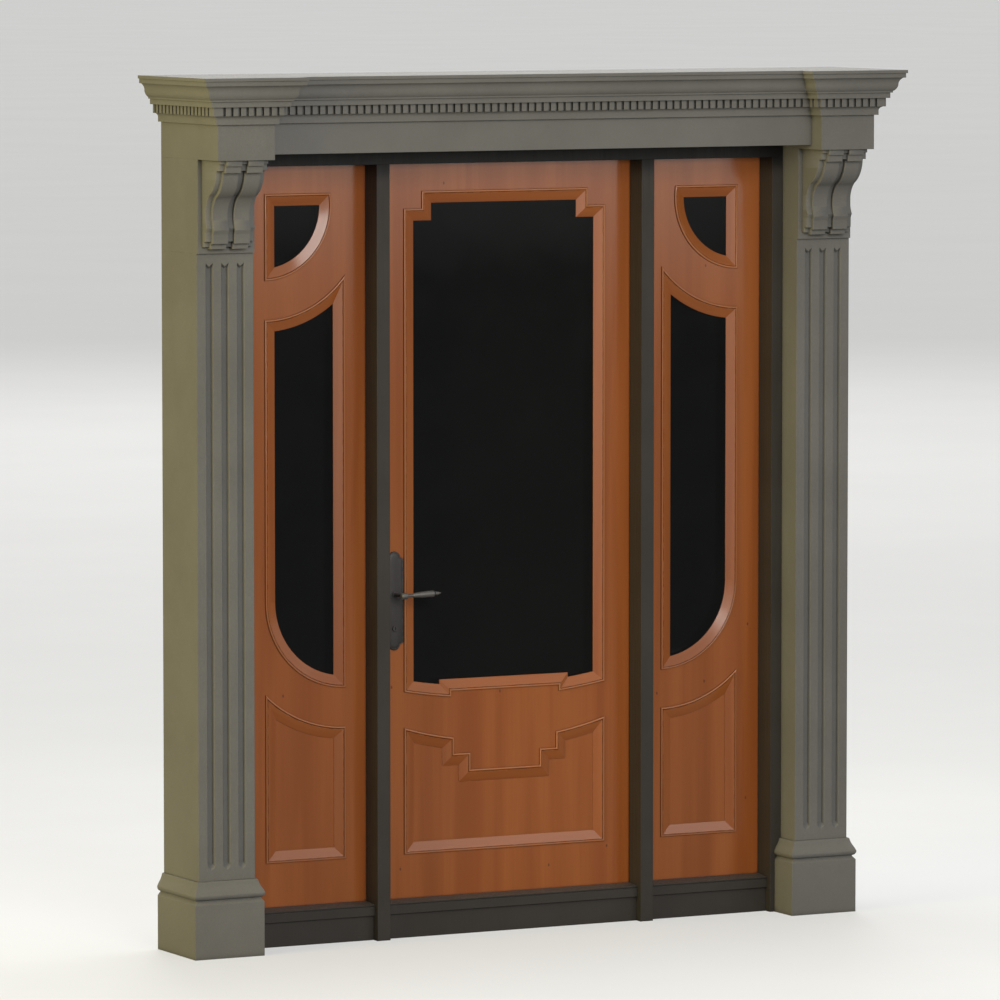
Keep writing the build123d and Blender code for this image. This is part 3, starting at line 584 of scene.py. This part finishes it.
edges_group.links.new(rounded.outputs[0], out["Normal"])

# %% Painted shade in corners
# Painted shade: points that see little sky nearby are darkened in the colour of every finish that uses this.
corner_shade_group, given, out = new_group(
    "painted_corner_shade", [("Distance", "NodeSocketFloat", 0.02)], [("Painted Shade", "NodeSocketFloat")])
open_sky = put(corner_shade_group, "ShaderNodeAmbientOcclusion", {"samples": 4}, Distance=given["Distance"])
corner_shade_group.links.new(span(corner_shade_group, open_sky.outputs["AO"], 0.85, 0.25), out["Painted Shade"])

# %% Drift and speckle
drift_group, given, out = new_group(
    "drift", [("Vector", "NodeSocketVector", None), ("Cloud Scale", "NodeSocketFloat", 3.0),
              ("Speckle Scale", "NodeSocketFloat", 240.0)],
    [("Cloud", "NodeSocketFloat"), ("Speckle", "NodeSocketFloat")])
cloud = put(drift_group, "ShaderNodeTexNoise", Vector=given["Vector"], Scale=given["Cloud Scale"], Detail=5.0,
            Roughness=0.6)
speckle = put(drift_group, "ShaderNodeTexNoise", Vector=given["Vector"], Scale=given["Speckle Scale"], Detail=3.0,
              Roughness=0.7)
drift_group.links.new(span(drift_group, cloud.outputs["Fac"], 0.3, 0.7), out["Cloud"])
drift_group.links.new(span(drift_group, speckle.outputs["Fac"], 0.28, 0.72), out["Speckle"])

# %% Wood grain
grain_group, given, out = new_group(
    "wood_grain", [("Vector", "NodeSocketVector", None)],
    [("Band", "NodeSocketFloat"), ("Streak", "NodeSocketFloat"), ("Knot", "NodeSocketFloat")])
long_grain = put(grain_group, "ShaderNodeMapping", Vector=given["Vector"], Scale=(1.0, 1.0, 0.045))
bands = put(grain_group, "ShaderNodeTexNoise", Vector=long_grain.outputs[0], Scale=12.0, Detail=3.0, Roughness=0.55,
            Distortion=0.35)
fine_grain = put(grain_group, "ShaderNodeMapping", Vector=given["Vector"], Scale=(1.0, 1.0, 0.018))
streaks = put(grain_group, "ShaderNodeTexNoise", Vector=fine_grain.outputs[0], Scale=190.0, Detail=4.0, Roughness=0.7)
spot = put(grain_group, "ShaderNodeSeparateXYZ", Vector=given["Vector"]).outputs
flat = put(grain_group, "ShaderNodeCombineXYZ", X=spot["X"], Y=work(grain_group, "MULTIPLY", spot["Z"], 0.6))
knots = put(grain_group, "ShaderNodeTexVoronoi", {"voronoi_dimensions": "2D"}, Vector=flat.outputs[0], Scale=6.0)
chance = put(grain_group, "ShaderNodeSeparateColor", Color=knots.outputs["Color"])
knot = work(grain_group, "MULTIPLY", span(grain_group, knots.outputs["Distance"], 0.022, 0.009),
            span(grain_group, chance.outputs[0], 0.66, 0.70))
grain_group.links.new(span(grain_group, bands.outputs["Fac"], 0.32, 0.68), out["Band"])
grain_group.links.new(span(grain_group, streaks.outputs["Fac"], 0.3, 0.7), out["Streak"])
grain_group.links.new(knot, out["Knot"])
print("groups:", [group.name for group in bpy.data.node_groups])

# %% [markdown]
# ## Stone
# The surround is a fine cast stone: a warm light grey, faintly cloudy, with a sandy face, lighter worn
# edges, grey painted shade in the grooves and a splash line near the ground. A photo texture would show
# seams at the blocks, so the pattern comes from the place of each point and runs on through all of them.

# %% Stone finish
stone, tree, shader, place = new_finish("cast_stone")
drift = use_group(tree, drift_group, Vector=place, Cloud_Scale=2.6, Speckle_Scale=330.0)
edge = use_group(tree, edges_group, Radius=0.0022, Break_Up=30.0)
corner_shade = use_group(tree, corner_shade_group, Distance=0.024)
body_colour = tint(tree, drift["Cloud"], (0.140, 0.136, 0.125, 1), (0.170, 0.165, 0.152, 1))
sandy = tint(tree, work(tree, "MULTIPLY", drift["Speckle"], 0.30), body_colour, (0.118, 0.112, 0.098, 1))
height = put(tree, "ShaderNodeSeparateXYZ", Vector=place).outputs["Z"]
splash = work(tree, "MULTIPLY", span(tree, height, 0.16, 0.0), work(tree, "MULTIPLY", drift["Cloud"], 0.15))
splashed = tint(tree, splash, sandy, (0.085, 0.080, 0.066, 1))
# Painted shade: grooves and corners that see little sky are darkened in the colour.
shaded = tint(tree, work(tree, "MULTIPLY", corner_shade["Painted Shade"], 0.85), splashed, (0.036, 0.034, 0.028, 1))
worn_and_highlit = tint(tree, work(tree, "MULTIPLY", edge["Wear And Highlight"], 0.40), shaded, (0.250, 0.245, 0.226, 1))
tree.links.new(worn_and_highlit, shader.inputs["Base Color"])
tree.links.new(span(tree, drift["Speckle"], 0.0, 1.0, 0.72, 0.92), shader.inputs["Roughness"])
shader.inputs["Specular IOR Level"].default_value = 0.35
sand = put(tree, "ShaderNodeBump", Strength=0.35, Distance=0.0006, Height=drift["Speckle"], Normal=edge["Normal"])
tree.links.new(sand.outputs[0], shader.inputs["Normal"])

# %% [markdown]
# ## Varnished wood
# The leaves are veneered in an orange-brown wood under clear gloss varnish. The grain runs up the leaves
# in soft bands with fine streaks and a few small dark knots, and along each moulding. One grain group
# does both: the leaves feed it their place, the mouldings the map that follows their own length.


# %% Wood finishes
def varnished(name, grain_place, tree, shader, shade_lines=None, bead_highlight=None):
    """Grain colours, painted shade at joints, worn edges with painted highlights, and painted shade lines and a painted
    bead highlight where given, under varnish.
    """
    grain = use_group(tree, grain_group, Vector=grain_place)
    edge = use_group(tree, edges_group, Radius=0.0018, Break_Up=60.0)
    corner_shade = use_group(tree, corner_shade_group, Distance=0.009)
    banded = tint(tree, grain["Band"], (0.275, 0.073, 0.0145, 1), (0.350, 0.104, 0.0235, 1))
    streaked = tint(tree, work(tree, "MULTIPLY", grain["Streak"], 0.14), banded, (0.205, 0.052, 0.012, 1))
    knotted = tint(tree, work(tree, "MULTIPLY", grain["Knot"], 0.75), streaked, (0.075, 0.022, 0.010, 1))
    # Painted shade: joints and corners that see little sky are darkened in the colour.
    shaded = tint(tree, work(tree, "MULTIPLY", corner_shade["Painted Shade"], 0.85), knotted, (0.040, 0.011, 0.004, 1))
    # Worn edges, lightened strongly enough to act as painted highlights on the rounded edges and mitres.
    worn_and_highlit = tint(tree, work(tree, "MULTIPLY", edge["Wear And Highlight"], 0.60), shaded, (0.520, 0.240, 0.110, 1))
    if shade_lines:
        # Painted highlight along the crest of the bead.
        worn_and_highlit = tint(tree, bead_highlight, worn_and_highlit, (0.480, 0.195, 0.080, 1))
        # Painted shade as dark lines in the quirk and the groove of the moulding.
        worn_and_highlit = tint(tree, shade_lines, worn_and_highlit, (0.050, 0.013, 0.005, 1))
    tree.links.new(worn_and_highlit, shader.inputs["Base Color"])
    tree.links.new(span(tree, grain["Streak"], 0.0, 1.0, 0.34, 0.46), shader.inputs["Roughness"])
    shader.inputs["Specular IOR Level"].default_value = 0.1
    shader.inputs["Coat Weight"].default_value = 0.75
    shader.inputs["Coat Roughness"].default_value = 0.16
    relief = put(tree, "ShaderNodeBump", Strength=0.12, Distance=0.0004, Height=grain["Streak"],
                 Normal=edge["Normal"])
    tree.links.new(relief.outputs[0], shader.inputs["Normal"])
    print("finish", name)


leaf_wood, tree, shader, place = new_finish("varnished_leaf")
varnished("leaf", place, tree, shader)
strip_wood, tree, shader, place = new_finish("varnished_strip")
along_strip = put(tree, "ShaderNodeSeparateXYZ", Vector=put(tree, "ShaderNodeUVMap", {"uv_map": "grain"}).outputs[0])
strip_place = put(tree, "ShaderNodeCombineXYZ", X=along_strip.outputs["Y"], Y=0.37, Z=along_strip.outputs["X"])
across = along_strip.outputs["Y"]
# Painted shade: dark lines in the quirk at the outer edge and in the groove behind the bead.
quirk_shade = span(tree, across, 0.0048, 0.0030)
groove_shade = span(tree, work(tree, "ABSOLUTE", work(tree, "SUBTRACT", across, 0.0128)), 0.0014, 0.0005)
shade_lines = work(tree, "MAXIMUM", quirk_shade, groove_shade)
# Painted highlight along the crest of the bead.
bead_highlight = span(tree, work(tree, "ABSOLUTE", work(tree, "SUBTRACT", across, 0.0072)), 0.0036, 0.0014, 0.0, 0.45)
varnished("strip", strip_place.outputs[0], tree, shader, work(tree, "MULTIPLY", shade_lines, 0.9), bead_highlight)

# %% [markdown]
# ## Dark paint, glass and metal
# The frame is painted a dark grey-brown with faint brush marks that run with the timber, painted shade under
# the lintel and in corners, dust on its ledges and rubbed edges. The glass is dark because the hall behind it
# is. The lever set is dark bronzed metal, brighter where hands rub it, and the hinges are plain steel.

# %% Frame paint
paint, tree, shader, place = new_finish("dark_frame_paint")
drift = use_group(tree, drift_group, Vector=place, Cloud_Scale=5.0, Speckle_Scale=120.0)
edge = use_group(tree, edges_group, Radius=0.0015, Break_Up=45.0)
corner_shade = use_group(tree, corner_shade_group, Distance=0.02)
brush = put(tree, "ShaderNodeTexNoise", Scale=240.0, Detail=3.0,
            Vector=put(tree, "ShaderNodeMapping", Vector=place, Scale=(1.0, 1.0, 0.03)).outputs[0])
coat = tint(tree, drift["Cloud"], (0.031, 0.0265, 0.022, 1), (0.0385, 0.033, 0.028, 1))
# Painted shade: corners that see little sky are darkened in the colour.
shaded = tint(tree, work(tree, "MULTIPLY", corner_shade["Painted Shade"], 0.5), coat, (0.012, 0.010, 0.008, 1))
height = put(tree, "ShaderNodeSeparateXYZ", Vector=place).outputs["Z"]
# Painted shade: the frame is darkened towards the top, where the lintel shades it.
shaded_under_lintel = tint(tree, span(tree, height, 2.150, 2.212), shaded, (0.0035, 0.0030, 0.0024, 1))
upward = put(tree, "ShaderNodeSeparateXYZ", Vector=put(tree, "ShaderNodeNewGeometry").outputs["Normal"]).outputs["Z"]
dust = work(tree, "MULTIPLY", span(tree, upward, 0.55, 0.95), span(tree, drift["Speckle"], 0.0, 1.0, 0.25, 0.6))
dusty = tint(tree, dust, shaded_under_lintel, (0.092, 0.087, 0.079, 1))
worn_and_highlit = tint(tree, work(tree, "MULTIPLY", edge["Wear And Highlight"], 0.35), dusty, (0.085, 0.078, 0.069, 1))
tree.links.new(worn_and_highlit, shader.inputs["Base Color"])
tree.links.new(span(tree, brush.outputs["Fac"], 0.3, 0.7, 0.42, 0.58), shader.inputs["Roughness"])
shader.inputs["Specular IOR Level"].default_value = 0.25
marks = put(tree, "ShaderNodeBump", Strength=0.15, Distance=0.0004, Height=brush.outputs["Fac"], Normal=edge["Normal"])
tree.links.new(marks.outputs[0], shader.inputs["Normal"])

# %% Glass
glass, tree, shader, place = new_finish("dark_glass")
smears = use_group(tree, drift_group, Vector=place, Cloud_Scale=6.0, Speckle_Scale=60.0)
shade = tint(tree, smears["Cloud"], (0.0118, 0.0121, 0.0125, 1), (0.0130, 0.0132, 0.0135, 1))
tree.links.new(shade, shader.inputs["Base Color"])
tree.links.new(span(tree, smears["Cloud"], 0.0, 1.0, 0.05, 0.12), shader.inputs["Roughness"])
shader.inputs["Transmission Weight"].default_value = 0.35
shader.inputs["IOR"].default_value = 1.12

# %% Lever metal and hinge steel
def metal(name, dark, light, rubbed, roughness, metallic, break_up):
    """Metal whose colour drifts between two tones and is rubbed bright at its edges."""
    finish, tree, shader, place = new_finish(name)
    drift = use_group(tree, drift_group, Vector=place, Cloud_Scale=30.0, Speckle_Scale=900.0)
    edge = use_group(tree, edges_group, Radius=0.0012, Break_Up=break_up)
    corner_shade = use_group(tree, corner_shade_group, Distance=0.008)
    tone = tint(tree, drift["Cloud"], dark, light)
    # Painted shade: corners that see little sky are darkened in the colour.
    shaded = tint(tree, work(tree, "MULTIPLY", corner_shade["Painted Shade"], 0.6), tone, (0.012, 0.011, 0.010, 1))
    tree.links.new(tint(tree, edge["Wear And Highlight"], shaded, rubbed), shader.inputs["Base Color"])
    tree.links.new(span(tree, drift["Speckle"], 0.0, 1.0, roughness - 0.06, roughness + 0.08),
                   shader.inputs["Roughness"])
    shader.inputs["Metallic"].default_value = metallic
    grit = put(tree, "ShaderNodeBump", Strength=0.1, Distance=0.0002, Height=drift["Speckle"], Normal=edge["Normal"])
    tree.links.new(grit.outputs[0], shader.inputs["Normal"])
    return finish


plate_bronze = metal("dark_plate_bronze", (0.030, 0.026, 0.025, 1), (0.038, 0.034, 0.033, 1),
                     (0.100, 0.094, 0.088, 1), 0.50, 0.4, 120.0)
lever_bronze = metal("rubbed_lever_bronze", (0.092, 0.087, 0.083, 1), (0.114, 0.108, 0.103, 1),
                     (0.190, 0.184, 0.172, 1), 0.46, 0.4, 120.0)
steel = metal("hinge_steel", (0.36, 0.36, 0.36, 1), (0.46, 0.46, 0.455, 1), (0.58, 0.58, 0.57, 1), 0.36, 0.85, 90.0)

# %% Finishes on the pieces
finishes = {"stone": stone, "frame_paint": paint, "varnished_wood": leaf_wood, "glass": glass,
            "handle_metal": plate_bronze, "hinge_steel": steel}
for row in frame["record"]["subparts"]:
    mesh = frame["nodes"][row["node"]].data
    mesh.materials.clear()
    mesh.materials.append(finishes[row["material_slot"]])
for piece in mouldings:
    piece.data.materials.append(strip_wood)
for piece in consoles:
    piece.data.materials.append(stone)
for piece in levers:
    piece.data.materials.append(lever_bronze)
for piece in plates + [cylinder]:
    piece.data.materials.append(plate_bronze)

# %% [markdown]
# ## Studio
# A plain pale floor keeps the shadow and runs so far out that no side shows its end; a wall behind would
# hide the back. The light is soft: a low warm box at the left for the returns of the stone, broad boxes
# in front, one overhead for the top of the cornice and one behind. The floor and the world show themselves
# pale to the eye, and share that with metal and glass.


# %% Floor
floor_x, floor_y = np.meshgrid(np.linspace(-300, 300, 41), np.linspace(-300, 300, 41))
floor_grid = np.stack([floor_x, floor_y, 0 * floor_x], axis=-1)
floor_mesh = bpy.data.meshes.new("pale_floor")
row, column = grid_cells(*floor_grid.shape[:2], False, False)
floor_mesh.from_pydata(floor_grid.reshape(-1, 3).tolist(), [], (row * floor_grid.shape[1] + column).tolist())
pale_floor = bpy.data.objects.new("pale_floor", floor_mesh)
scene.collection.objects.link(pale_floor)
floor_finish, tree, shader, place = new_finish("pale_floor")
drift = use_group(tree, drift_group, Vector=place, Cloud_Scale=0.4, Speckle_Scale=30.0)
path = tree.nodes.new("ShaderNodeLightPath").outputs
in_gloss = work(tree, "MULTIPLY", path["Is Glossy Ray"], 0.10)
seen = work(tree, "MAXIMUM", path["Is Camera Ray"], work(tree, "MAXIMUM", in_gloss, path["Is Transmission Ray"]))
pale = tint(tree, drift["Cloud"], (0.26, 0.26, 0.255, 1), (0.29, 0.29, 0.285, 1))
tree.links.new(tint(tree, seen, (0.14, 0.14, 0.14, 1), pale), shader.inputs["Base Color"])
shader.inputs["Roughness"].default_value = 0.9
shader.inputs["Emission Color"].default_value = (0.75, 0.75, 0.74, 1)
tree.links.new(work(tree, "MULTIPLY", seen, 0.66), shader.inputs["Emission Strength"])
floor_finish.cycles.emission_sampling = "NONE"
floor_mesh.materials.append(floor_finish)

# %% World
world = bpy.data.worlds.new("studio")
scene.world = world
world.use_nodes = True
tree = world.node_tree
path = tree.nodes.new("ShaderNodeLightPath").outputs
seen = work(tree, "MAXIMUM", path["Is Camera Ray"], work(tree, "MAXIMUM", path["Is Glossy Ray"],
                                                         path["Is Transmission Ray"]))
tree.links.new(tint(tree, seen, (0.15, 0.15, 0.155, 1), (0.95, 0.95, 0.95, 1)), tree.nodes["Background"].inputs["Color"])


# %% Lamps
def softbox(name, place, aim, width, height, power, colour):
    """A rectangular area lamp at a place, turned so that it faces its aim."""
    lamp_data = bpy.data.lights.new(name, "AREA")
    lamp_data.shape = "RECTANGLE"
    lamp_data.size = width
    lamp_data.size_y = height
    lamp_data.energy = power
    lamp_data.color = colour
    lamp = bpy.data.objects.new(name, lamp_data)
    lamp.location = place
    look = np.array(aim, float) - np.array(place, float)
    lamp.rotation_euler = (np.arctan2(np.hypot(look[0], look[1]), -look[2]), 0, np.arctan2(look[1], look[0]) - pi / 2)
    scene.collection.objects.link(lamp)


softbox("left_box", (-8.0, -1.6, 2.6), (-0.9, -0.2, 1.2), 3.0, 3.0, 510, (1.0, 0.87, 0.40))
softbox("key_box", (-1.5, -9.2, 4.4), (0.0, -0.1, 1.2), 4.2, 4.2, 450, (1.0, 0.99, 0.97))
softbox("fill_box", (-1.4, -9.4, 2.0), (0.0, -0.1, 1.4), 4.0, 4.0, 50, (1.0, 0.99, 0.97))
softbox("right_box", (4.9, -8.6, 2.8), (0.0, -0.1, 1.6), 5.5, 2.6, 95, (1.0, 0.99, 0.97))
softbox("back_box", (9.0, 20.0, 12.0), (0.0, 0.0, 1.2), 8.0, 8.0, 1800, (1.0, 0.99, 0.97))
softbox("top_box", (0.5, 0.6, 6.5), (0.0, -0.2, 2.4), 3.0, 3.0, 310, (0.97, 0.98, 1.0))
